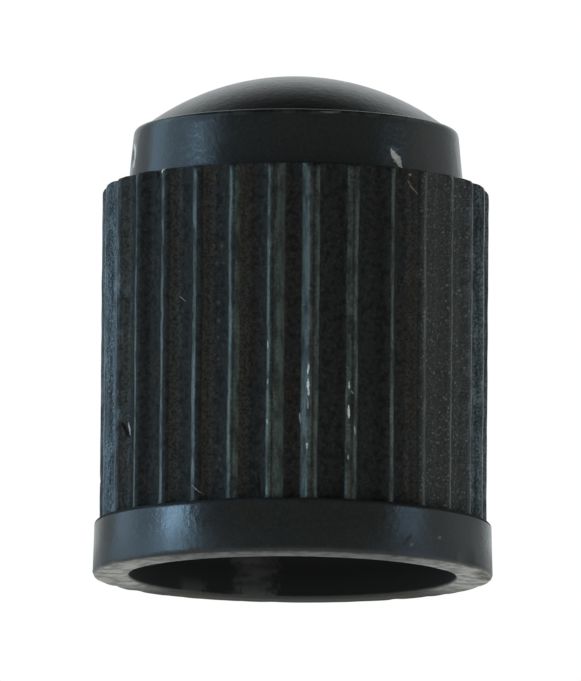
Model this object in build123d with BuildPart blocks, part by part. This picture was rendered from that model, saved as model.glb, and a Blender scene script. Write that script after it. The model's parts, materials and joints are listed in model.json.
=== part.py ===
from build123d import *
import os
from math import asin, degrees, radians, sin, tan

# Tyre valve cap: a moulded dust cap that screws onto a car tyre valve.
# It is one piece and stands on its mouth, with +Z towards the dome.
# The origin is the centre of the mouth's rim, and sizes are in millimetres.

# Socket for the valve
thread_diameter = 7.747  # outside of the valve's 8V1 thread
thread_clearance = 0.03  # a side, between that thread and the socket's wall
lead_in_clearance = 0.2  # a side, between that thread and the plain lead-in
lead_in_depth = 1.3
seat_width = 0.9  # ledge that the end of the valve meets
seat_drop = 0.8  # from the grip's upper end down to that ledge
pocket_chamfer = 0.4  # inner corner of the pocket that clears the valve's pin
dome_wall = 1.7

# Base ring round the mouth
ring_height = 1.37
ring_step = 0.11  # how far the ring's upper edge stands out past the ribs
ring_draft = 1.75  # degrees, so that the ring is widest at the mouth
ring_round = 0.1
rim_chamfer = 0.1

# Ribbed grip
grip_height = 8.42
flute_wall = 0.695  # plastic left between the socket and the floor of a flute
rib_height = 0.25
rib_count = 30
rib_crest = 0.2  # width of the land on top of a rib
rib_flank = 40  # degrees that a rib's side leans from the radial direction
rib_edge_round = 0.05
flute_round = 0.08
rib_end_chamfer = 0.22

# Collar and dome
shoulder_step = 0.4  # from the floor of a flute in to the foot of the collar
collar_height = 1.45
collar_draft = 5.5  # degrees
collar_round = 0.13
ledge_width = 0.2  # flat ring between the collar's edge and the dome
dome_rise = 1.33

# Radii that follow, from the axis outwards
thread_radius = thread_diameter / 2
socket_radius = thread_radius + thread_clearance
lead_in_radius = thread_radius + lead_in_clearance
pocket_radius = socket_radius - seat_width
flute_radius = socket_radius + flute_wall
rib_radius = flute_radius + rib_height
ring_top_radius = rib_radius + ring_step
ring_radius = ring_top_radius + ring_height * tan(radians(ring_draft))
collar_foot_radius = flute_radius - shoulder_step
collar_top_radius = collar_foot_radius - collar_height * tan(radians(collar_draft))
dome_radius = collar_top_radius - ledge_width

# Heights that follow, from the mouth upwards
shoulder_height = ring_height + grip_height
seat_height = shoulder_height - seat_drop
ledge_height = shoulder_height + collar_height
dome_height = ledge_height + dome_rise
pocket_height = dome_height - dome_wall
thread_start_height = lead_in_depth + lead_in_radius - socket_radius

# Half widths of a flute, at its floor, between two crests and where its cut leaves the grip
rib_pitch = 360 / rib_count
crest_half_angle = degrees(asin(rib_crest / 2 / rib_radius))
flute_mouth = rib_radius * sin(radians(rib_pitch / 2 - crest_half_angle))
flank_lean = rib_height * tan(radians(rib_flank))
flute_floor = flute_mouth - flank_lean
flute_opening = flute_mouth + flank_lean

# The grip's section stands on the ring, turned so that a rib lies on the X axis
grip_plane = Plane.XY.offset(ring_height).rotated((0, 0, rib_pitch / 2))

with BuildPart() as valve_cap:
    # Grip: a round bar with a flute between each two ribs
    with BuildSketch(grip_plane) as grip_section:
        Circle(rib_radius)
        with PolarLocations(0, rib_count):
            Polygon(
                (flute_radius, -flute_floor),
                (rib_radius + rib_height, -flute_opening),
                (rib_radius + rib_height, flute_opening),
                (flute_radius, flute_floor),
                align=None,
                mode=Mode.SUBTRACT,
            )
        fillet(grip_section.vertices().group_by(SortBy.DISTANCE)[0], flute_round)
        fillet(grip_section.vertices().group_by(SortBy.DISTANCE)[-1], rib_edge_round)
    extrude(amount=grip_height)

    # Bevelled upper ends of the ribs
    with BuildSketch(Plane.XZ):
        with Locations((0, ring_height)):
            Rectangle(rib_radius, grip_height, align=Align.MIN)
        chamfer(vertices().group_by(Axis.Y)[-1].sort_by(Axis.X)[-1], rib_end_chamfer)
    revolve(axis=Axis.Z, mode=Mode.INTERSECT)

    # Base ring
    with BuildSketch(Plane.XZ):
        with BuildLine():
            Polyline(
                (0, 0),
                (ring_radius, 0),
                (ring_top_radius, ring_height),
                (0, ring_height),
                close=True,
            )
        make_face()
        fillet(vertices().group_by(Axis.Y)[-1].sort_by(Axis.X)[-1], min(ring_round, ring_step))
    revolve(axis=Axis.Z)

    # Collar, ledge and dome
    with BuildSketch(Plane.XZ):
        with BuildLine():
            Polyline(
                (0, dome_height),
                (0, shoulder_height),
                (collar_foot_radius, shoulder_height),
                (collar_top_radius, ledge_height),
                (dome_radius, ledge_height),
            )
            TangentArc((0, dome_height), (dome_radius, ledge_height), tangent=(1, 0))
        make_face()
        collar_edge = vertices().group_by(Axis.Y)[1].sort_by(Axis.X)[-1]
        fillet(collar_edge, min(collar_round, ledge_width))
    revolve(axis=Axis.Z)

    # Socket: plain lead-in, threaded stretch, seat for the valve and pocket for its pin
    with BuildSketch(Plane.XZ):
        with BuildLine():
            Polyline(
                (0, 0),
                (lead_in_radius, 0),
                (lead_in_radius, lead_in_depth),
                (socket_radius, thread_start_height),
                (socket_radius, seat_height),
                (pocket_radius, seat_height),
                (pocket_radius, pocket_height),
                (0, pocket_height),
                close=True,
            )
        make_face()
        pocket_corner = vertices().group_by(Axis.Y)[-1].sort_by(Axis.X)[-1]
        chamfer(pocket_corner, pocket_chamfer)
    revolve(axis=Axis.Z, mode=Mode.SUBTRACT)

    # Broken edges of the rim
    chamfer(faces().sort_by(Axis.Z)[0].edges(), rim_chamfer)

valve_cap.part.label = "valve_cap"

os.makedirs("parts", exist_ok=True)
export_step(valve_cap.part, "parts/valve_cap.step")
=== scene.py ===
import json
import math
from collections import namedtuple

import bpy
import numpy as np
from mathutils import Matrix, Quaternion, Vector, noise


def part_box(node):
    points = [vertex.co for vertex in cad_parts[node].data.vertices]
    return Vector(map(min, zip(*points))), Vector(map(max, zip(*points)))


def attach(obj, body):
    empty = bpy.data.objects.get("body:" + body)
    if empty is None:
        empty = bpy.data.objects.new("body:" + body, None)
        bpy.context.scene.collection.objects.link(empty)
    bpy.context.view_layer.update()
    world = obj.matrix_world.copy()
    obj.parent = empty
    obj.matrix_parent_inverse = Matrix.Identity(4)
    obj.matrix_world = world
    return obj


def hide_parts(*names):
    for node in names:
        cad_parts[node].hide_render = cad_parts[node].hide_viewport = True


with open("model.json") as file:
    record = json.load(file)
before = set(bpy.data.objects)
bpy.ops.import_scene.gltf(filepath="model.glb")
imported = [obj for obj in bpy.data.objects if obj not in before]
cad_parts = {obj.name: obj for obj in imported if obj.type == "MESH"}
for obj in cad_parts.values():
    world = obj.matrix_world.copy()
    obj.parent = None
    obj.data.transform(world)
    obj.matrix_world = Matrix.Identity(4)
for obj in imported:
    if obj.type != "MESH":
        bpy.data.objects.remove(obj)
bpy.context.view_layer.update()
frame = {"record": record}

# Tyre valve cap: one black moulding that stands on its mouth, seen from a little below.
# Sizes are in millimetres, and become metres where a mesh, a lamp or the camera is made.
# A bearing is an angle round the axis from +X, and a mark's angle is counted from the front, -Y.
MM = 0.001
cap_low, cap_high = (Vector(corner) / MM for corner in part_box("valve_cap"))
thread_mount = next(m for m in frame["record"]["mounts"] if m["name"] == "valve_thread")

# Socket
socket_radius = thread_mount["dims"]["r_mm"]
lead_in_step = 0.17  # how far the lead-in stands back from the socket's wall
lead_in_radius = socket_radius + lead_in_step
lead_in_depth = 1.3
seat_height = 8.99
seat_width = 0.9
pocket_radius = socket_radius - seat_width
pocket_height = 10.87
pocket_chamfer = 0.4
thread_pitch = 25.4 / 32
thread_depth = 0.42
thread_rows = 10  # rows of points to each turn
thread_low = 1.6
thread_high = 8.4

# Base ring and grip
rim_edge = 0.1
ring_radius = min(cap_high.x, -cap_low.x)  # just above the rim's edge, where the ring is widest
ring_height = 1.37
ring_draft = math.tan(math.radians(1.75))
ring_round = 0.1
ring_top_radius = ring_radius - (ring_height - rim_edge) * ring_draft
ring_step = 0.11  # how far the ring stands out past the ribs
rib_count = 30
rib_degrees = 360 / rib_count
rib_pitch = math.tau / rib_count
rib_radius = ring_top_radius - ring_step
rib_height = 0.25
rib_crest = 0.2  # width of the land on top of a rib
rib_lean = math.tan(math.radians(40))
flute_radius = rib_radius - rib_height
flute_mouth = rib_radius * math.sin(rib_pitch / 2 - math.asin(rib_crest / 2 / rib_radius))
flute_floor = flute_mouth - rib_height * rib_lean  # half the width of a flute's flat floor
rib_edge_blend = 0.13
flute_blend = 0.08
rib_foot_blend = 0.06
rib_end_round = 0.22
shoulder_height = 9.79

# Collar and dome
shoulder_step = 0.4  # from the floor of a flute in to the collar's foot
collar_foot_radius = flute_radius - shoulder_step
collar_draft = math.tan(math.radians(5.5))
ledge_height = 11.24
collar_top_radius = collar_foot_radius - (ledge_height - shoulder_height) * collar_draft
collar_round = 0.13
ledge_width = 0.2
dome_height = cap_high.z
dome_base_radius = collar_top_radius - ledge_width
dome_rise = dome_height - ledge_height
dome_sphere = (dome_base_radius ** 2 + dome_rise ** 2) / (2 * dome_rise)

# Columns of points across one rib, from its middle to the middle of the next, as degrees
half_rib = [0.0, 0.6, 0.9, 1.15, 1.45, 1.9, 2.6, 3.2, 3.7, 4.7]
across_rib = half_rib + [rib_degrees / 2] + [rib_degrees - angle for angle in half_rib[:0:-1]]
COLUMNS = np.radians([rib_degrees * rib + angle for rib in range(rib_count) for angle in across_rib])
SOCKET_STEP = 4  # the socket has every fourth column
DOME_STEP = 2  # and the dome every second
NOISE_RADIUS = 4.8  # the noise of the outside is laid round a cylinder of about the grip's size


def least(a, b, blend):
    """The smaller of two radii, with the corner between them rounded over the blend."""
    share = np.clip(0.5 + 0.5 * (b - a) / blend, 0, 1)
    return b * (1 - share) + a * share - blend * share * (1 - share)


def most(a, b, blend):
    """The larger of two radii, with the corner between them rounded over the blend."""
    return -least(-a, -b, blend)


def ease(value, low, high):
    """A smooth rise from 0 at low to 1 at high."""
    share = np.clip((value - low) / (high - low), 0, 1)
    return share * share * (3 - 2 * share)


def wander(bearing, height, fine, seed):
    """Smooth noise over the outside, from -1 to 1, with about that many bumps to a millimetre."""
    across = np.cos(bearing) * fine * NOISE_RADIUS
    deep = np.sin(bearing) * fine * NOISE_RADIUS
    points = zip(across, deep, height * fine)
    return np.array([noise.noise(Vector((x + seed, y, z))) for x, y, z in points])


def row(radius, height, step=1):
    """One loop of points round the axis: their bearings, radii and heights."""
    return np.stack(np.broadcast_arrays(COLUMNS[::step], radius, height)).astype(float)


def arc(middle_radius, middle_height, size, start, end, count):
    """Radii and heights along an arc of a profile, with its angles in degrees from outwards to up."""
    angles = np.radians(np.linspace(start, end, count))
    return zip(middle_radius + size * np.cos(angles), middle_height + size * np.sin(angles))


# Socket, from the pocket's ceiling down to the mouth

def thread_ridge(bearing, height):
    """How far the thread stands in from the wall: a right-hand ridge with a flat crest."""
    turn = height / thread_pitch - bearing / math.tau
    from_root = 1 - 2 * np.abs(turn - np.floor(turn) - 0.5)
    ridge = np.clip(1.4 * from_root - 0.2, 0, 1)
    run_in = ease(height, thread_low, thread_low + 0.5)
    run_out = 1 - ease(height, thread_high - 0.4, thread_high)
    return thread_depth * ridge * run_in * run_out


def socket_rows():
    """The pocket, the seat, the thread and the plain lead-in, as rows of points."""
    corner = pocket_radius - pocket_chamfer
    edge = 0.05
    profile = [
        (corner * 0.5, pocket_height),
        (corner, pocket_height),
        (pocket_radius, pocket_height - pocket_chamfer),
        (pocket_radius, seat_height + edge),
        (pocket_radius + edge, seat_height),
        (socket_radius - edge, seat_height),
        (socket_radius, seat_height - edge),
    ]
    rows = [row(radius, height, SOCKET_STEP) for radius, height in profile]
    for height in np.arange(thread_high, thread_low, -thread_pitch / thread_rows):
        bearing = COLUMNS[::SOCKET_STEP]
        rows.append(row(socket_radius - thread_ridge(bearing, height), height, SOCKET_STEP))
    lead_in = [
        (socket_radius, thread_low - 0.12),
        (lead_in_radius, lead_in_depth),
        (lead_in_radius, 0.7),
        (lead_in_radius, 0.1),
    ]
    return rows + [row(radius, height, SOCKET_STEP) for radius, height in lead_in]


# Rim and base ring, from the mouth's edge out and up to the ribs

def rim_rows():
    """The flat face that the cap stands on, between two worn edges."""
    inner = lead_in_radius + rim_edge
    outer = ring_radius - rim_edge
    corner = 0.3 * rim_edge
    rows = [
        row(lead_in_radius + corner, corner, SOCKET_STEP),
        row(inner, 0, SOCKET_STEP),
        row(inner + 0.12, 0, SOCKET_STEP),
    ]
    face = np.linspace(inner + 0.25, outer, 4)
    rows += [row(radius, 0) for radius in face]
    rows += [row(ring_radius - corner, corner), row(ring_radius, rim_edge)]
    for worn in rows[-3:]:
        bite = 0.5 + 0.5 * wander(worn[0], worn[2], 2.2, 5)
        worn[1] -= 0.02 * bite ** 2
        worn[2] += 0.03 * bite ** 3
    return rows


def uneven(rows, seed):
    """Gives a plain moulded wall the shallow hollows that make its highlights patchy."""
    for bearing, radius, height in rows:
        broad = wander(bearing, height, 0.6, seed)
        close = wander(bearing, height, 1.4, seed + 3)
        hollow = most(0.3 + 0.5 * broad + 0.3 * close, 0.0, 0.3)
        radius -= 0.022 * hollow
    return rows


def ring_rows():
    """The base ring's leaning wall and its rounded upper edge."""
    corner_radius = ring_top_radius - ring_round
    corner_height = ring_height - ring_round
    rows = []
    for height in np.linspace(rim_edge + 0.08, corner_height - 0.04, 9):
        rows.append(row(ring_radius - (height - rim_edge) * ring_draft, height))
    uneven(rows, 31)
    for radius, height in arc(corner_radius, corner_height, ring_round, 8, 90, 5):
        rows.append(row(radius, height))
    return rows


# Ribbed grip

def grip_section(bearing):
    """Radius of the grip at a bearing: crests, leaning flanks and the flat floors of the flutes."""
    from_flute = np.abs(bearing % rib_pitch - rib_pitch / 2)
    floor = flute_radius / np.cos(from_flute)
    lean = rib_lean * np.cos(from_flute) - np.sin(from_flute)
    flank = (flute_radius * rib_lean - flute_floor) / lean
    return least(most(floor, flank, flute_blend), rib_radius, rib_edge_blend)


def grip_rows():
    """The ribs and flutes, with worn crests, and with edges that wander as the moulding's do."""
    foot = ring_height + np.array([0.0, 0.02, 0.06])
    run = np.linspace(ring_height + 0.14, shoulder_height - rib_end_round - 0.03, 70)
    end = shoulder_height - rib_end_round * (1 - np.sin(np.radians([0, 25, 45, 62, 77, 90])))
    crest_limit = ring_top_radius - ring_round - 0.005
    rows = []
    for height in np.concatenate([foot, run, end]):
        level = np.full(COLUMNS.shape, height)
        drift = 0.35 * wander(COLUMNS, level, 0.55, 11) + 0.12 * wander(COLUMNS, level, 2.4, 17)
        radius = grip_section(COLUMNS + np.radians(drift))
        crest = np.clip((radius - flute_radius) / rib_height, 0, 1)
        rub = 0.5 + 0.5 * wander(COLUMNS, level, 1.7, 23)
        radius = radius - 0.03 * crest * rub
        above_foot = max(0.0, 1 - (height - ring_height) / rib_foot_blend)
        radius = np.minimum(radius + rib_foot_blend * above_foot ** 2, crest_limit)
        below_end = max(0.0, 1 - (shoulder_height - height) / rib_end_round)
        limit = rib_radius - rib_end_round * (1 - math.sqrt(1 - below_end ** 2))
        rows.append(row(least(radius, limit, 0.04), height))
    return rows


# Collar and dome

def collar_rows():
    """The step in from the ribs, the collar's leaning wall and its rounded edge."""
    foot_blend = 0.05
    rows = [
        row(collar_foot_radius + 0.16, shoulder_height),
        row(collar_foot_radius + foot_blend, shoulder_height),
        row(collar_foot_radius + 0.3 * foot_blend, shoulder_height + 0.3 * foot_blend),
    ]
    corner_height = ledge_height - collar_round
    wall = []
    for height in np.linspace(shoulder_height + foot_blend, corner_height - 0.04, 15):
        wall.append(row(collar_foot_radius - (height - shoulder_height) * collar_draft, height))
    rows += uneven(wall, 47)
    corner_radius = collar_top_radius - collar_round
    for radius, height in arc(corner_radius, corner_height, collar_round, 8, 90, 6):
        rows.append(row(radius, height))
    return rows


def dome_rows():
    """The narrow ledge and the dome, up to just short of the axis."""
    rows = [row(dome_base_radius + 0.03, ledge_height, DOME_STEP)]
    rows.append(row(dome_base_radius + 0.004, ledge_height, DOME_STEP))
    base_angle = math.asin(dome_base_radius / dome_sphere)
    for angle in np.append(base_angle - 0.0008, np.linspace(base_angle - 0.006, 0.02, 20)):
        height = dome_height - dome_sphere * (1 - math.cos(angle))
        rows.append(row(dome_sphere * math.sin(angle), height, DOME_STEP))
    return rows


# Knocks that the cap has taken, as places on its outside

Knock = namedtuple("Knock", "angle height length width lean depth")

KNOCKS = [
    Knock(angle=-80, height=10.48, length=0.3, width=0.34, lean=0, depth=0.05),  # left edge of the collar
    Knock(angle=37.5, height=10.11, length=0.3, width=0.12, lean=-28, depth=0.04),  # gouge in the collar
    Knock(angle=-48.0, height=9.7, length=0.14, width=0.1, lean=0, depth=0.08),  # upper end of a flute
    Knock(angle=-62.9, height=3.4, length=0.25, width=0.06, lean=-12, depth=0.04),  # side of a rib
    Knock(angle=61, height=0.15, length=0.3, width=0.5, lean=0, depth=0.05),  # rim, right of the front
    Knock(angle=35.5, height=0.44, length=0.16, width=0.05, lean=40, depth=0.03),  # scratch in the ring
]


def scattered_knocks():
    """Small nicks on the crests all round, as a cap gets from tools and pockets."""
    draw = np.random.default_rng(41)
    nick_count = 70
    knocks = []
    for _ in range(nick_count):
        rib = draw.integers(rib_count)
        knocks.append(Knock(
            angle=rib_degrees * rib + rib_degrees / 2 + draw.uniform(-2.2, 2.2),
            height=draw.uniform(1.7, 9.4),
            length=draw.uniform(0.06, 0.22),
            width=draw.uniform(0.05, 0.1),
            lean=draw.uniform(-35, 35),
            depth=draw.uniform(0.015, 0.05),
        ))
    return knocks


def knock_in(rows, knocks):
    """Presses the knocks into the rows of the outside."""
    for knock in knocks:
        middle = math.radians(knock.angle - 90)
        lean = math.radians(knock.lean)
        for bearing, radius, height in rows:
            aside = (bearing - middle + math.pi) % math.tau - math.pi
            along = aside * radius
            above = height - knock.height
            across = (along * math.cos(lean) - above * math.sin(lean)) / knock.width
            down = (along * math.sin(lean) + above * math.cos(lean)) / knock.length
            inside = np.clip(1 - across ** 2 - down ** 2, 0, 1)
            radius -= knock.depth * inside ** 1.5


# The cap's mesh

def bridge(low, high):
    """Faces between two loops of points, where one may have some times as many points as the other."""
    if len(low) == len(high):
        return [
            (low[j - 1], low[j], high[j], high[j - 1])
            for j in range(len(low))
        ]
    fine, coarse = (low, high) if len(low) > len(high) else (high, low)
    share = len(fine) // len(coarse)
    faces = []
    for j in range(len(coarse)):
        first, second = coarse[j], coarse[(j + 1) % len(coarse)]
        edge = [fine[(j * share + k) % len(fine)] for k in range(share + 1)]
        half = share // 2
        fans = [(edge[k], edge[k + 1], first if k < half else second) for k in range(share)]
        fans.append((edge[half], second, first))
        faces += fans if fine is low else [fan[::-1] for fan in fans]
    return faces


def skin(rows, first_height, last_height):
    """Points and faces of the closed surface through the rows, which ends on the axis at both heights."""
    points = [(0.0, 0.0, first_height)]
    loops = []
    for bearing, radius, height in rows:
        loops.append(range(len(points), len(points) + len(bearing)))
        points += zip(radius * np.cos(bearing), radius * np.sin(bearing), height)
    points.append((0.0, 0.0, last_height))
    first, last = loops[0], loops[-1]
    faces = [(0, first[j], first[j - 1]) for j in range(len(first))]
    for low, high in zip(loops, loops[1:]):
        faces += bridge(low, high)
    faces += [(len(points) - 1, last[j - 1], last[j]) for j in range(len(last))]
    return np.array(points) * MM, faces


def moulded_cap():
    """The whole cap as one closed mesh."""
    outside = rim_rows() + ring_rows() + grip_rows() + collar_rows() + dome_rows()
    knock_in(outside, KNOCKS + scattered_knocks())
    points, faces = skin(socket_rows() + outside, pocket_height, dome_height)
    mesh = bpy.data.meshes.new("moulded_cap")
    mesh.from_pydata(points.tolist(), [], faces)
    mesh.validate()
    mesh.shade_smooth()
    cap = bpy.data.objects.new("moulded_cap", mesh)
    bpy.context.scene.collection.objects.link(cap)
    normals = cap.modifiers.new("even_normals", "WEIGHTED_NORMAL")
    normals.keep_sharp = True
    return cap


# Shader maths

class Shade:
    """An output of a material's nodes. Arithmetic on it adds Math nodes to the same tree."""

    def __init__(self, tree, socket=None):
        self.tree = tree
        self.socket = socket

    def node(self, kind, settings=None, inputs=None, output=0):
        """Adds a node: its settings come first, then the values or links of its sockets."""
        made = self.tree.nodes.new(kind)
        for name, value in (settings or {}).items():
            setattr(made, name, value)
        for name, value in (inputs or {}).items():
            if isinstance(value, Shade):
                self.tree.links.new(value.socket, made.inputs[name])
            else:
                made.inputs[name].default_value = value
        return Shade(self.tree, made.outputs[output] if made.outputs else None)

    def math(self, operation, first, second=0.0):
        return self.node("ShaderNodeMath", {"operation": operation}, {0: first, 1: second})

    def axes(self):
        """The three numbers that make up a place or a direction."""
        return [self.node("ShaderNodeSeparateXYZ", {}, {0: self}, output=axis) for axis in "XYZ"]

    def __add__(self, other):
        return self.math("ADD", self, other)

    def __sub__(self, other):
        return self.math("SUBTRACT", self, other)

    def __mul__(self, other):
        return self.math("MULTIPLY", self, other)

    def __truediv__(self, other):
        return self.math("DIVIDE", self, other)

    def __neg__(self):
        return self.math("MULTIPLY", self, -1.0)

    def __radd__(self, other):
        return self.math("ADD", other, self)

    def __rsub__(self, other):
        return self.math("SUBTRACT", other, self)

    def __rmul__(self, other):
        return self.math("MULTIPLY", other, self)

    def rise(self, low, high):
        """A smooth rise from 0 at low to 1 at high."""
        return self.node(
            "ShaderNodeMapRange",
            {"interpolation_type": "SMOOTHSTEP"},
            {"Value": self, "From Min": low, "From Max": high},
        )

    def least(self, other):
        return self.math("MINIMUM", self, other)

    def most(self, other):
        return self.math("MAXIMUM", self, other)

    def root(self):
        return self.math("SQRT", self)

    def size(self):
        return self.math("ABSOLUTE", self)

    def sign(self):
        return self.math("SIGN", self)

    def fraction(self):
        return self.math("FRACT", self)

    def tint(self, first, second):
        """The first colour where this mask is 0, and the second where it is 1."""
        return self.node(
            "ShaderNodeMix",
            {"data_type": "RGBA"},
            {"Factor": self, 6: first, 7: second},
            output=2,
        )

    def stretched(self, across, along):
        """A place, squeezed so that a noise on it is longer or shorter along the axis."""
        return self.node(
            "ShaderNodeVectorMath",
            {"operation": "MULTIPLY"},
            {0: self, 1: (across, across, along)},
        )

    def noise(self, fine, detail=2.0, rough=0.5):
        """Noise at this place, with about that many bumps to a unit."""
        return self.node(
            "ShaderNodeTexNoise",
            {},
            {"Vector": self, "Scale": fine, "Detail": detail, "Roughness": rough},
        )

    def specks(self, fine):
        """Distance to the nearest of many scattered points, in units of their spacing."""
        return self.node("ShaderNodeTexVoronoi", {}, {"Vector": self, "Scale": fine})


def new_material(name):
    """An empty material, and the Shade that adds nodes to it."""
    material = bpy.data.materials.new(name)
    material.use_nodes = True
    material.node_tree.nodes.clear()
    return material, Shade(material.node_tree)


# Black plastic

SATIN_BLACK = (0.0175, 0.0165, 0.0130, 1)
SATIN_COOL = (0.0160, 0.0170, 0.0145, 1)
MATT_BLACK = (0.0290, 0.0285, 0.0260, 1)
SOCKET_BLACK = (0.0150, 0.0150, 0.0140, 1)
# Dark of the grain, also of the painted shadow in cuts and notches
GRAIN_AND_SHADE_DARK = (0.0080, 0.0080, 0.0075, 1)
GRAIN_GREY = (0.0620, 0.0640, 0.0600, 1)
DUST_BROWN = (0.0700, 0.0470, 0.0270, 1)
# Pale film of dust, laid where it is painted fill light
DUST_FILM_AND_FILL_LIGHT = (0.0900, 0.0850, 0.0740, 1)
DUST_SAND = (0.1400, 0.1200, 0.0850, 1)
# Grey of dust, also of the painted light inside the mouth
DUST_AND_LIGHT_GREY = (0.1300, 0.1270, 0.1180, 1)
DUST_PALE = (0.3400, 0.3300, 0.3000, 1)
# Paler tone of the grip's sides: worn streaks and painted sheen
WORN_AND_SHEEN_GREY = (0.1800, 0.2300, 0.2300, 1)
# Paler tone of scuffed edges, also of painted highlights on them
SCUFFED_AND_HIGHLIGHT = (0.1350, 0.1650, 0.1200, 1)
RIM_GREY = (0.4250, 0.4050, 0.3680, 1)
# Painted shade of the rim's front and of its far side
RIM_FRONT_SHADE = (0.1500, 0.1480, 0.1350, 1)
RIM_FAR_SHADE = (0.0320, 0.0300, 0.0180, 1)
RIM_BROWN = (0.0700, 0.0480, 0.0300, 1)
# Pale of the torn marks, also of a few painted highlights
TORN_AND_HIGHLIGHT_PALE = (0.9200, 0.8300, 0.7100, 1)
# Colour of the painted highlights on the ribs' edges
PAINTED_GLINT_PALE = (0.9000, 0.9200, 0.8200, 1)

Scratch = namedtuple("Scratch", "start end width strength")

# Ends of each scratch, as an angle from the front in degrees and a height.
# Pale ones are torn, save a few painted highlights; dark ones are painted shadow in cuts and notches;
# glints are painted highlights along the ribs' rubbed edges.
# Torn marks, and a few painted highlights on edges
PALE_SCRATCHES_AND_HIGHLIGHTS = [
    Scratch(start=(35.3, 10.32), end=(39.6, 9.9), width=0.12, strength=1.0),  # gouge in the collar
    Scratch(start=(38.2, 9.67), end=(38.5, 9.63), width=0.035, strength=0.5),  # flute under the gouge
    Scratch(start=(37.7, 9.51), end=(40.1, 9.15), width=0.02, strength=0.25),
    Scratch(start=(-80.5, 10.78), end=(-76.5, 10.2), width=0.26, strength=1.0),  # left edge of the collar
    Scratch(start=(-44.0, 9.79), end=(-43.3, 9.69), width=0.09, strength=1.0),  # upper end of a rib: a painted highlight
    Scratch(start=(-38.1, 6.58), end=(-35.3, 6.41), width=0.018, strength=0.3),
    Scratch(start=(-31.0, 1.78), end=(-27.5, 1.52), width=0.018, strength=0.35),
    Scratch(start=(-62.3, 3.58), end=(-61.6, 3.26), width=0.035, strength=0.6),  # side of a rib
    Scratch(start=(-69.1, 4.74), end=(-68.9, 4.66), width=0.04, strength=0.4),
    Scratch(start=(8.9, 11.15), end=(16.8, 11.17), width=0.03, strength=0.2),  # top edge of the collar: a painted highlight
    Scratch(start=(46.8, 0.58), end=(48.4, 0.62), width=0.05, strength=0.12),  # base ring: painted highlights
    Scratch(start=(36.0, 0.29), end=(37.6, 0.37), width=0.05, strength=0.12),
]
# Painted shadow in cuts and notches
SHADED_CUTS = [
    Scratch(start=(32.4, 10.84), end=(35.2, 10.33), width=0.03, strength=0.8),  # above the gouge
    Scratch(start=(-48.6, 9.78), end=(-47.6, 9.58), width=0.08, strength=0.9),  # upper end of a flute
    Scratch(start=(-63.7, 3.6), end=(-62.4, 3.2), width=0.05, strength=0.9),  # side of a rib
    Scratch(start=(-10.4, 2.1), end=(-9.7, 1.4), width=0.06, strength=0.8),  # foot of a flute
    Scratch(start=(33.6, 0.3), end=(37.2, 0.6), width=0.06, strength=0.6),  # base ring
]
# Painted highlights: short pale glints on the ribs' edges near the front
PAINTED_GLINTS = [
    Scratch(start=(4.8, 4.72), end=(4.6, 4.48), width=0.032, strength=0.8),  # rib right of the front
    Scratch(start=(4.7, 4.36), end=(4.7, 4.08), width=0.04, strength=1.0),
    Scratch(start=(4.8, 4.14), end=(4.8, 3.92), width=0.036, strength=0.8),
    Scratch(start=(4.6, 3.86), end=(4.7, 3.6), width=0.024, strength=0.35),
    Scratch(start=(4.5, 2.75), end=(4.5, 2.6), width=0.04, strength=0.6),
    Scratch(start=(2.3, 3.52), end=(2.6, 3.26), width=0.032, strength=0.35),
    Scratch(start=(17.0, 4.32), end=(17.0, 4.14), width=0.036, strength=0.8),  # next rib to the right
    Scratch(start=(17.5, 4.08), end=(18.3, 4.02), width=0.03, strength=0.35),
    Scratch(start=(16.9, 3.72), end=(17.0, 3.4), width=0.04, strength=0.95),
    Scratch(start=(18.8, 3.22), end=(19.0, 3.0), width=0.032, strength=0.4),
    Scratch(start=(16.9, 2.5), end=(16.9, 2.36), width=0.032, strength=0.4),
    Scratch(start=(-7.4, 5.3), end=(-7.4, 5.1), width=0.028, strength=0.35),  # rib left of the front
    Scratch(start=(-7.3, 4.35), end=(-7.4, 4.2), width=0.028, strength=0.35),
    Scratch(start=(-7.4, 3.36), end=(-7.3, 3.2), width=0.028, strength=0.35),
]


def scratch_mask(angle, height, wobble, ragged, scratch):
    """1 on a scratch's wandering line and 0 past its width, with ragged sides and pointed ends."""
    start_angle, start_height = scratch.start
    end_angle, end_height = scratch.end
    radius = collar_foot_radius if start_height > shoulder_height else rib_radius
    across = math.radians(end_angle - start_angle) * radius
    up = end_height - start_height
    from_start = (angle - math.radians(start_angle)) * radius + wobble
    above_start = height - start_height + wobble
    share = (from_start * across + above_start * up) / (across ** 2 + up ** 2)
    share = share.most(0.0).least(1.0)
    aside = from_start - share * across
    above = above_start - share * up
    distance = (aside * aside + above * above).root()
    width = scratch.width * (0.25 + 3.0 * share * (1 - share))
    return (1 - (distance / width + ragged).rise(0.45, 1.0)) * scratch.strength


def scratched(angle, height, wobble, ragged, scratches):
    """The strongest of some scratches at each place."""
    mask = scratch_mask(angle, height, wobble, ragged, scratches[0])
    for scratch in scratches[1:]:
        mask = mask.most(scratch_mask(angle, height, wobble, ragged, scratch))
    return mask


def between(value, low, high, soft):
    """1 from low to high, fading to 0 over the soft distance past each."""
    return value.rise(low - soft, low) * (1 - value.rise(high, high + soft))


def facing(angle, low, high, soft):
    """1 between two angles from the front, fading to 0 over the soft angle past each, all in degrees."""
    return between(angle, math.radians(low), math.radians(high), math.radians(soft))


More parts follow.
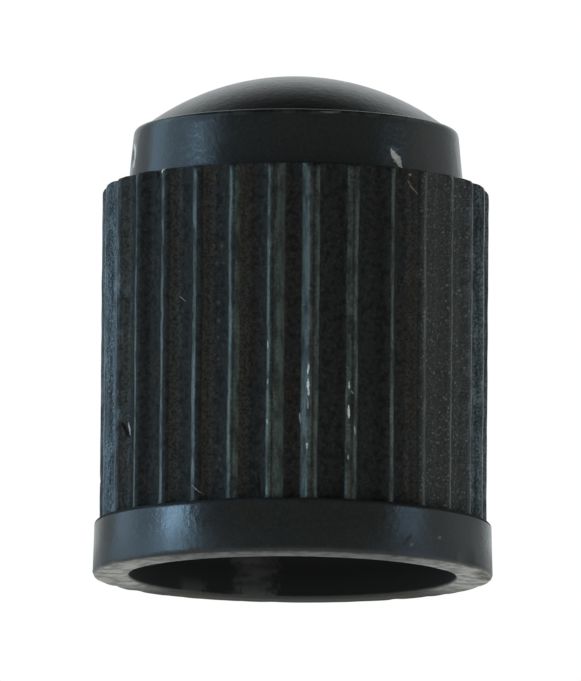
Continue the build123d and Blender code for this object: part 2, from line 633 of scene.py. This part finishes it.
def black_plastic():
    """Satin on the plain walls and rubbed crests, and matt in the flutes and socket and on the rim."""
    material, tree = new_material("black_plastic")
    metres = tree.node("ShaderNodeTexCoord", output="Object")
    place = tree.node("ShaderNodeVectorMath", {"operation": "SCALE"}, {0: metres, "Scale": 1 / MM})
    x, y, height = place.axes()
    radius = (x * x + y * y).root()
    angle = x.math("ARCTAN2", x, -y)

    # Where the parts of the moulding are
    on_grip = between(height, ring_height + 0.03, shoulder_height - 0.02, 0.04)
    crest = on_grip * radius.rise(rib_radius - 0.1, rib_radius - 0.06)
    flute = on_grip - crest
    from_crest = ((angle / rib_pitch).fraction() - 0.5) * rib_pitch * rib_radius
    past_mouth = radius.rise(lead_in_radius + 0.005, lead_in_radius + 0.035)
    past_thread = radius.rise(socket_radius + 0.03, socket_radius + 0.07) * height.rise(2.0, 2.2)
    above_pocket = height.rise(11.0, 11.05)
    outside = past_mouth.most(past_thread).most(above_pocket)
    rim = past_mouth * (1 - height.rise(0.005, 0.04))
    past_ribs = radius.rise(rib_radius, rib_radius + 0.02)
    ring_edge = between(height, ring_height - 0.08, ring_height, 0.03) * past_ribs
    plain_wall = outside * (1 - on_grip) * (1 - rim) * (1 - ring_edge)
    to_side = (x / radius).size()

    # How the finish varies
    grain = place.noise(14.0, detail=3.0, rough=0.65)
    mottle = place.noise(6.5, detail=2.0)
    blotch = place.noise(2.6, detail=3.0)
    cloud = place.noise(0.7, detail=2.0)
    streak = place.stretched(1.0, 0.12).noise(7.0, detail=3.0)
    wobble = (place.noise(3.0) - 0.5) * 0.05
    ragged = (place.noise(9.0, detail=3.0) - 0.5) * 1.6

    # Torn marks with a few painted highlights, painted shadow in cuts, and painted highlights on the ribs'
    # edges
    fibres = 0.5 + 0.5 * grain.rise(0.3, 0.55)
    torn_and_highlight = scratched(angle, height, wobble, ragged, PALE_SCRATCHES_AND_HIGHLIGHTS) * outside * fibres
    cut_shade = scratched(angle, height, wobble, ragged, SHADED_CUTS) * outside
    painted_glint = scratched(angle, height, wobble * 0.5, ragged * 0.9, PAINTED_GLINTS) * on_grip * fibres

    # Rubbed edges of the ribs: both near the front, and the outer ones towards the sides
    front = facing(angle, -22, 22, 3)
    outer_edge = (from_crest * angle.sign()).rise(-0.01, 0.01)
    drift = (streak - 0.5) * 0.05 + (place.stretched(1.0, 0.5).noise(1.6) - 0.5) * 0.08
    from_edge = (from_crest.size() - rib_crest / 2 + drift).size()
    rubbed_sides = crest * front.most(outer_edge)
    held = 0.85 + 0.35 * between(height, 2.4, 4.2, 3.5)
    patchy = held * (0.3 + 0.7 * place.stretched(1.0, 0.3).noise(5.0).rise(0.35, 0.62))
    chunks = place.stretched(1.0, 0.35).noise(4.0).rise(0.48, 0.64)
    rubbed_reach = from_edge - 0.08 * chunks - 0.025 * (1 - front)
    rubbed = rubbed_sides * patchy * (1 - rubbed_reach.rise(0.03, 0.09))
    # Scuffed crest edges: wear, and a painted highlight that widens the lines the edges catch
    scuff_grain = 0.5 + 0.5 * grain.rise(0.4, 0.6)
    scuffed_and_highlight = rubbed_sides * patchy * (1 - from_edge.rise(0.03, 0.12)) * scuff_grain
    # Flanks beside the front ribs: satin, with a painted highlight in their colour
    front_flank = flute * facing(angle.size(), 3.1, 5.2, 0.8)
    # The grip's sides, where it turns away from the front: worn streaks, and paler colour that is painted
    # sheen
    side_reach = angle.size() + (blotch - 0.5) * 0.25
    side_fade = 1 - side_reach.rise(math.radians(78), math.radians(115))
    worn_and_sheen_side = on_grip * side_reach.rise(math.radians(61), math.radians(72)) * side_fade
    flecks = place.stretched(1.0, 0.4).noise(4.5, detail=3.0).rise(0.54, 0.68)
    worn_and_sheen_grain = (0.4 + 0.15 * angle.sign()) * grain.rise(0.38, 0.62) * streak.rise(0.3, 0.6)
    satin_share = plain_wall.most(rubbed).most(worn_and_sheen_side * (0.4 + 0.5 * streak.rise(0.35, 0.6)))
    satin_share = satin_share.most(front_flank * 0.6 * patchy)

    # Dust in the flutes and on the right of the grip, and painted fill light on the flutes' shaded flanks
    clean_flutes = facing(angle, 9, 33, 3)
    brown_reach = flute * (1 - 0.75 * clean_flutes)
    brown_dust = brown_reach * cloud.rise(0.42, 0.6) * blotch.rise(0.4, 0.66) * grain.rise(0.42, 0.66)
    # Painted fill light: a dust film laid on each flute's shaded flank
    from_outer = (blotch - 0.5) * 0.3 - from_crest * angle.sign()
    shaded_flank = flute * between(from_outer, 0.16, 0.3, 0.16)
    left_film = facing(angle, -40, -10, 12)
    right_film = facing(angle, 37, 62, 4)
    far_left_film = facing(angle, -67, -61, 2)
    film_and_fill_light = shaded_flank * left_film.most(right_film).most(far_left_film)
    dusty_side = on_grip * facing(angle, 43, 65, 4)
    grit = (grain - 0.5) * 0.7
    speck = dusty_side * (1 - (place.specks(12.0) + grit).rise(0.14, 0.46))
    pale_grit = 1 - (place.specks(8.0) + grit).rise(0.08, 0.32)
    pale_speck = dusty_side * blotch.rise(0.34, 0.52) * pale_grit
    sandy_flute = flute * facing(angle, -27, -23, 2)
    sand_grit = 1 - (place.specks(4.5) + grit).rise(0.08, 0.34)
    sand = sandy_flute * blotch.rise(0.42, 0.58) * sand_grit

    # Two patches of painted light on the far wall, inside the mouth
    inside = 1 - outside
    light_patch_reach = angle + (mottle - 0.5) * 0.2
    painted_light_patch = inside * facing(light_patch_reach, -169, -163, 7)
    small_light_patch = inside * facing(light_patch_reach, -144, -138, 5)
    near_mouth = 1 - height.rise(0.1, 0.5)
    light_streaks = place.stretched(0.6, 1.6).noise(3.0, detail=3.0).rise(0.4, 0.62)
    light_patch_cover = painted_light_patch * (0.16 + 0.2 * light_streaks + 0.25 * near_mouth) + small_light_patch * 0.3 * near_mouth

    # Paler patches on the collar's top edge, and the scuffed and dirty rim, with painted shade at its front
    # and far side
    near_ledge = between(height, ledge_height - 0.1, ledge_height, 0.06)
    collar_edge = near_ledge * outside * blotch.rise(0.4, 0.6)
    rim_cover = 0.38 + 0.44 * blotch.rise(0.38, 0.58) + 0.18 * mottle.rise(0.35, 0.6)
    # Painted shade: the rim darker at its front and far side, pale grey where it turns to the sides
    near_rim = to_side.rise(0.5, 1.0).tint(RIM_FRONT_SHADE, RIM_GREY)
    far_side = angle.size().rise(math.radians(105), math.radians(138))
    rim_colour = far_side.tint(near_rim, RIM_FAR_SHADE)
    back_dirt = facing(angle, -155, -141, 6)
    right_dirt = facing(angle, 76, 90, 6)
    outer_rim = radius.rise(ring_radius - 0.5, ring_radius - 0.2)
    rim_dirt = rim * back_dirt.most(right_dirt) * outer_rim * mottle.rise(0.35, 0.5)

    # Colours, each laid over those before it
    colour = cloud.rise(0.35, 0.65).tint(SATIN_BLACK, SATIN_COOL)
    colour = (1 - satin_share).tint(colour, outside.tint(SOCKET_BLACK, MATT_BLACK))
    colour = (outside * grain.rise(0.48, 0.7) * (0.25 + 0.35 * on_grip)).tint(colour, GRAIN_GREY)
    colour = (outside * (1 - mottle.rise(0.35, 0.55)) * (0.3 + 0.3 * on_grip)).tint(colour, GRAIN_AND_SHADE_DARK)
    # painted fill light on the flutes' shaded flanks
    colour = (film_and_fill_light * (0.2 + 0.6 * grain.rise(0.4, 0.6))).tint(colour, DUST_FILM_AND_FILL_LIGHT)
    colour = (brown_dust * 0.9).tint(colour, DUST_BROWN)
    colour = (dusty_side * 0.3 + speck * 0.6).tint(colour, DUST_AND_LIGHT_GREY)
    colour = (pale_speck * 0.5).tint(colour, DUST_PALE)
    colour = (sand * 0.6).tint(colour, DUST_SAND)
    # worn streaks and painted sheen on the grip's sides
    colour = (worn_and_sheen_side * (worn_and_sheen_grain + 0.4 * flecks)).tint(colour, WORN_AND_SHEEN_GREY)
    # painted highlights on scuffed crest edges and front flanks; paler patches on the collar's top edge
    colour = (scuffed_and_highlight * 0.6 + front_flank * patchy * 0.5 + collar_edge * 0.2).tint(colour, SCUFFED_AND_HIGHLIGHT)
    # painted light on the far wall inside the mouth
    colour = light_patch_cover.tint(colour, DUST_AND_LIGHT_GREY)
    # scuffed rim, with painted shade at its front and far side
    colour = (rim * rim_cover).tint(colour, rim_colour)
    colour = (rim_dirt * 0.8).tint(colour, RIM_BROWN)
    # painted shadow in cuts and notches
    colour = cut_shade.tint(colour, GRAIN_AND_SHADE_DARK)
    # torn marks, and a few painted highlights
    colour = torn_and_highlight.tint(colour, TORN_AND_HIGHLIGHT_PALE)
    # painted highlights on the ribs' edges
    colour = painted_glint.tint(colour, PAINTED_GLINT_PALE)

    # Heights of the finish, in millimetres
    relief = (0.003 + 0.012 * on_grip) * grain + 0.006 * mottle
    relief = relief + 0.012 * speck + 0.006 * streak * on_grip
    normal = relief.node("ShaderNodeBump", {}, {"Strength": 1.0, "Distance": MM, "Height": relief})

    # The two finishes
    foot_wear = 1 - height.rise(0.15, 0.9)
    satin_roughness = 0.18 + 0.12 * blotch + 0.14 * foot_wear + 0.12 * rubbed + 0.3 * torn_and_highlight.most(cut_shade)
    satin = tree.node("ShaderNodeBsdfPrincipled", {}, {
        "Base Color": colour,
        "Roughness": satin_roughness,
        "Normal": normal,
        "IOR": 1.5,
    })
    matt = tree.node("ShaderNodeBsdfPrincipled", {}, {
        "Base Color": colour,
        "Roughness": 0.8,
        "Normal": normal,
        "IOR": 1.5,
        "Specular IOR Level": 0.15,
    })
    surface = tree.node("ShaderNodeMixShader", {}, {0: satin_share, 1: matt, 2: satin})
    tree.node("ShaderNodeOutputMaterial", {}, {"Surface": surface})
    return material


# Floor, lamps, world and camera

def pale_floor():
    """A white floor that only the camera sees, and only from above: the photograph looks up past it."""
    half = 0.5  # metres
    mesh = bpy.data.meshes.new("floor")
    corners = [(-half, -half, 0), (half, -half, 0), (half, half, 0), (-half, half, 0)]
    mesh.from_pydata(corners, [], [(0, 1, 2, 3)])
    floor = bpy.data.objects.new("floor", mesh)
    bpy.context.scene.collection.objects.link(floor)
    floor.location.z = -0.02 * MM  # just under the rim
    material, tree = new_material("floor_white")
    place = tree.node("ShaderNodeTexCoord", output="Object")
    far = place.node("ShaderNodeVectorMath", {"operation": "LENGTH"}, {0: place}, output="Value")
    paper = tree.node("ShaderNodeBsdfDiffuse", {}, {"Color": (0.9, 0.74, 0.64, 1)})
    lit_evenly = tree.node("ShaderNodeEmission", {}, {"Color": (1, 1, 1, 1), "Strength": 0.6})
    white = tree.node("ShaderNodeEmission", {}, {"Color": (1, 1, 1, 1), "Strength": 1.0})
    clear = tree.node("ShaderNodeBsdfTransparent")
    near = tree.node("ShaderNodeAddShader", {}, {0: paper, 1: lit_evenly})
    past_shadow = far.rise(12 * MM, 50 * MM)
    seen = tree.node("ShaderNodeMixShader", {}, {0: past_shadow, 1: near, 2: white})
    behind = tree.node("ShaderNodeNewGeometry", output="Backfacing")
    surface = tree.node("ShaderNodeMixShader", {}, {0: behind, 1: seen, 2: clear})
    tree.node("ShaderNodeOutputMaterial", {}, {"Surface": surface})
    mesh.materials.append(material)
    floor.visible_diffuse = False
    floor.visible_glossy = False
    floor.visible_transmission = False
    floor.visible_shadow = False


def studio_world():
    """White to the camera. To the cap, a dim room with a backdrop, a pale table and a glow on its right."""
    world = bpy.data.worlds.new("studio")
    bpy.context.scene.world = world
    world.use_nodes = True
    world.node_tree.nodes.clear()
    tree = Shade(world.node_tree)
    direction = tree.node("ShaderNodeTexCoord", output="Generated")
    right, back, up = direction.axes()
    behind = back / (1 - up * up).root()
    low = 1 - up.rise(0.5, 0.88)
    room = 0.02 + 0.16 * low
    walls = 0.27 * behind.rise(-0.6, 0.4) * (0.85 + 0.2 * right) * (0.75 + 0.9 * up)
    beside = right.rise(0.6, 0.9) * between(back, -0.1, 0.4, 0.15)
    right_glow = 0.12 * beside * (1 - up.rise(0.15, 0.4))
    backdrop = 0.5 * behind.rise(0.78, 0.95)
    table = 0.5 * (1 - up.rise(-0.4, -0.05))
    level = room + (walls + backdrop) * low + right_glow + table
    around = tree.node("ShaderNodeBackground", {}, {"Color": (0.92, 0.98, 1.0, 1), "Strength": level})
    white = tree.node("ShaderNodeBackground", {}, {"Color": (1, 1, 1, 1), "Strength": 1.0})
    camera_ray = tree.node("ShaderNodeLightPath", output="Is Camera Ray")
    surface = tree.node("ShaderNodeMixShader", {}, {0: camera_ray, 1: around, 2: white})
    tree.node("ShaderNodeOutputWorld", {}, {"Surface": surface})


def direction_at(azimuth, elevation):
    """The direction outwards from the cap at angles in degrees, round from the front and up."""
    turn = math.radians(azimuth)
    lift = math.radians(elevation)
    return Vector((
        math.sin(turn) * math.cos(lift),
        -math.cos(turn) * math.cos(lift),
        math.sin(lift),
    ))


# Soft boxes round the cap: where they stand, and how wide, high and bright they look from it
Lamp = namedtuple("Lamp", "name azimuth elevation half_width half_height radiance")

LAMPS = [
    Lamp("left_window", azimuth=-72, elevation=7, half_width=8, half_height=7, radiance=10.5),
    Lamp("left_panel", azimuth=-92, elevation=14, half_width=31, half_height=30, radiance=0.9),
    Lamp("far_left_panel", azimuth=-113, elevation=12, half_width=9, half_height=22, radiance=0.7),
    Lamp("right_panel", azimuth=72, elevation=0, half_width=9, half_height=14, radiance=1.75),
]
LAMP_DISTANCE = 0.16  # metres
LAMP_BLUE = (0.43, 0.72, 1.0)


def soft_lamp(lamp):
    """One soft box that faces the middle of the cap."""
    outwards = direction_at(lamp.azimuth, lamp.elevation)
    light = bpy.data.lights.new(lamp.name, "AREA")
    light.shape = "RECTANGLE"
    light.size = 2 * LAMP_DISTANCE * math.tan(math.radians(lamp.half_width))
    light.size_y = 2 * LAMP_DISTANCE * math.tan(math.radians(lamp.half_height))
    light.energy = lamp.radiance * math.pi * light.size * light.size_y
    light.color = LAMP_BLUE
    holder = bpy.data.objects.new(lamp.name, light)
    bpy.context.scene.collection.objects.link(holder)
    aim = Vector((0, 0, dome_height / 2 * MM))
    holder.location = aim + outwards * LAMP_DISTANCE
    holder.rotation_mode = "QUATERNION"
    holder.rotation_quaternion = outwards.to_track_quat("Z", "Y")
    holder.visible_camera = False


def photo_camera():
    """The photograph looks up at the mouth from a little below, through a long lens."""
    outwards = direction_at(0.55, -7.9)
    roll = math.radians(0.5)
    photo_rows = 681
    pixel_size = 0.02496  # millimetres at the cap
    frame_height = photo_rows * pixel_size
    aim = Vector((-0.1, 0, 5.97)) * MM
    camera = bpy.data.cameras.new("camera")
    camera.lens = 1350
    camera.sensor_width = 36
    holder = bpy.data.objects.new("camera", camera)
    bpy.context.scene.collection.objects.link(holder)
    distance = camera.lens / camera.sensor_width * frame_height * MM
    holder.location = aim + outwards * distance
    holder.rotation_mode = "QUATERNION"
    holder.rotation_quaternion = outwards.to_track_quat("Z", "Y") @ Quaternion((0, 0, 1), roll)
    camera.clip_start = 0.01
    camera.clip_end = 2.0
    bpy.context.scene.camera = holder


cap = moulded_cap()
cap.data.materials.append(black_plastic())
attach(cap, "root")
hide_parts("valve_cap")

pale_floor()
studio_world()
for lamp in LAMPS:
    soft_lamp(lamp)
photo_camera()
bpy.context.scene.view_settings.view_transform = "Standard"
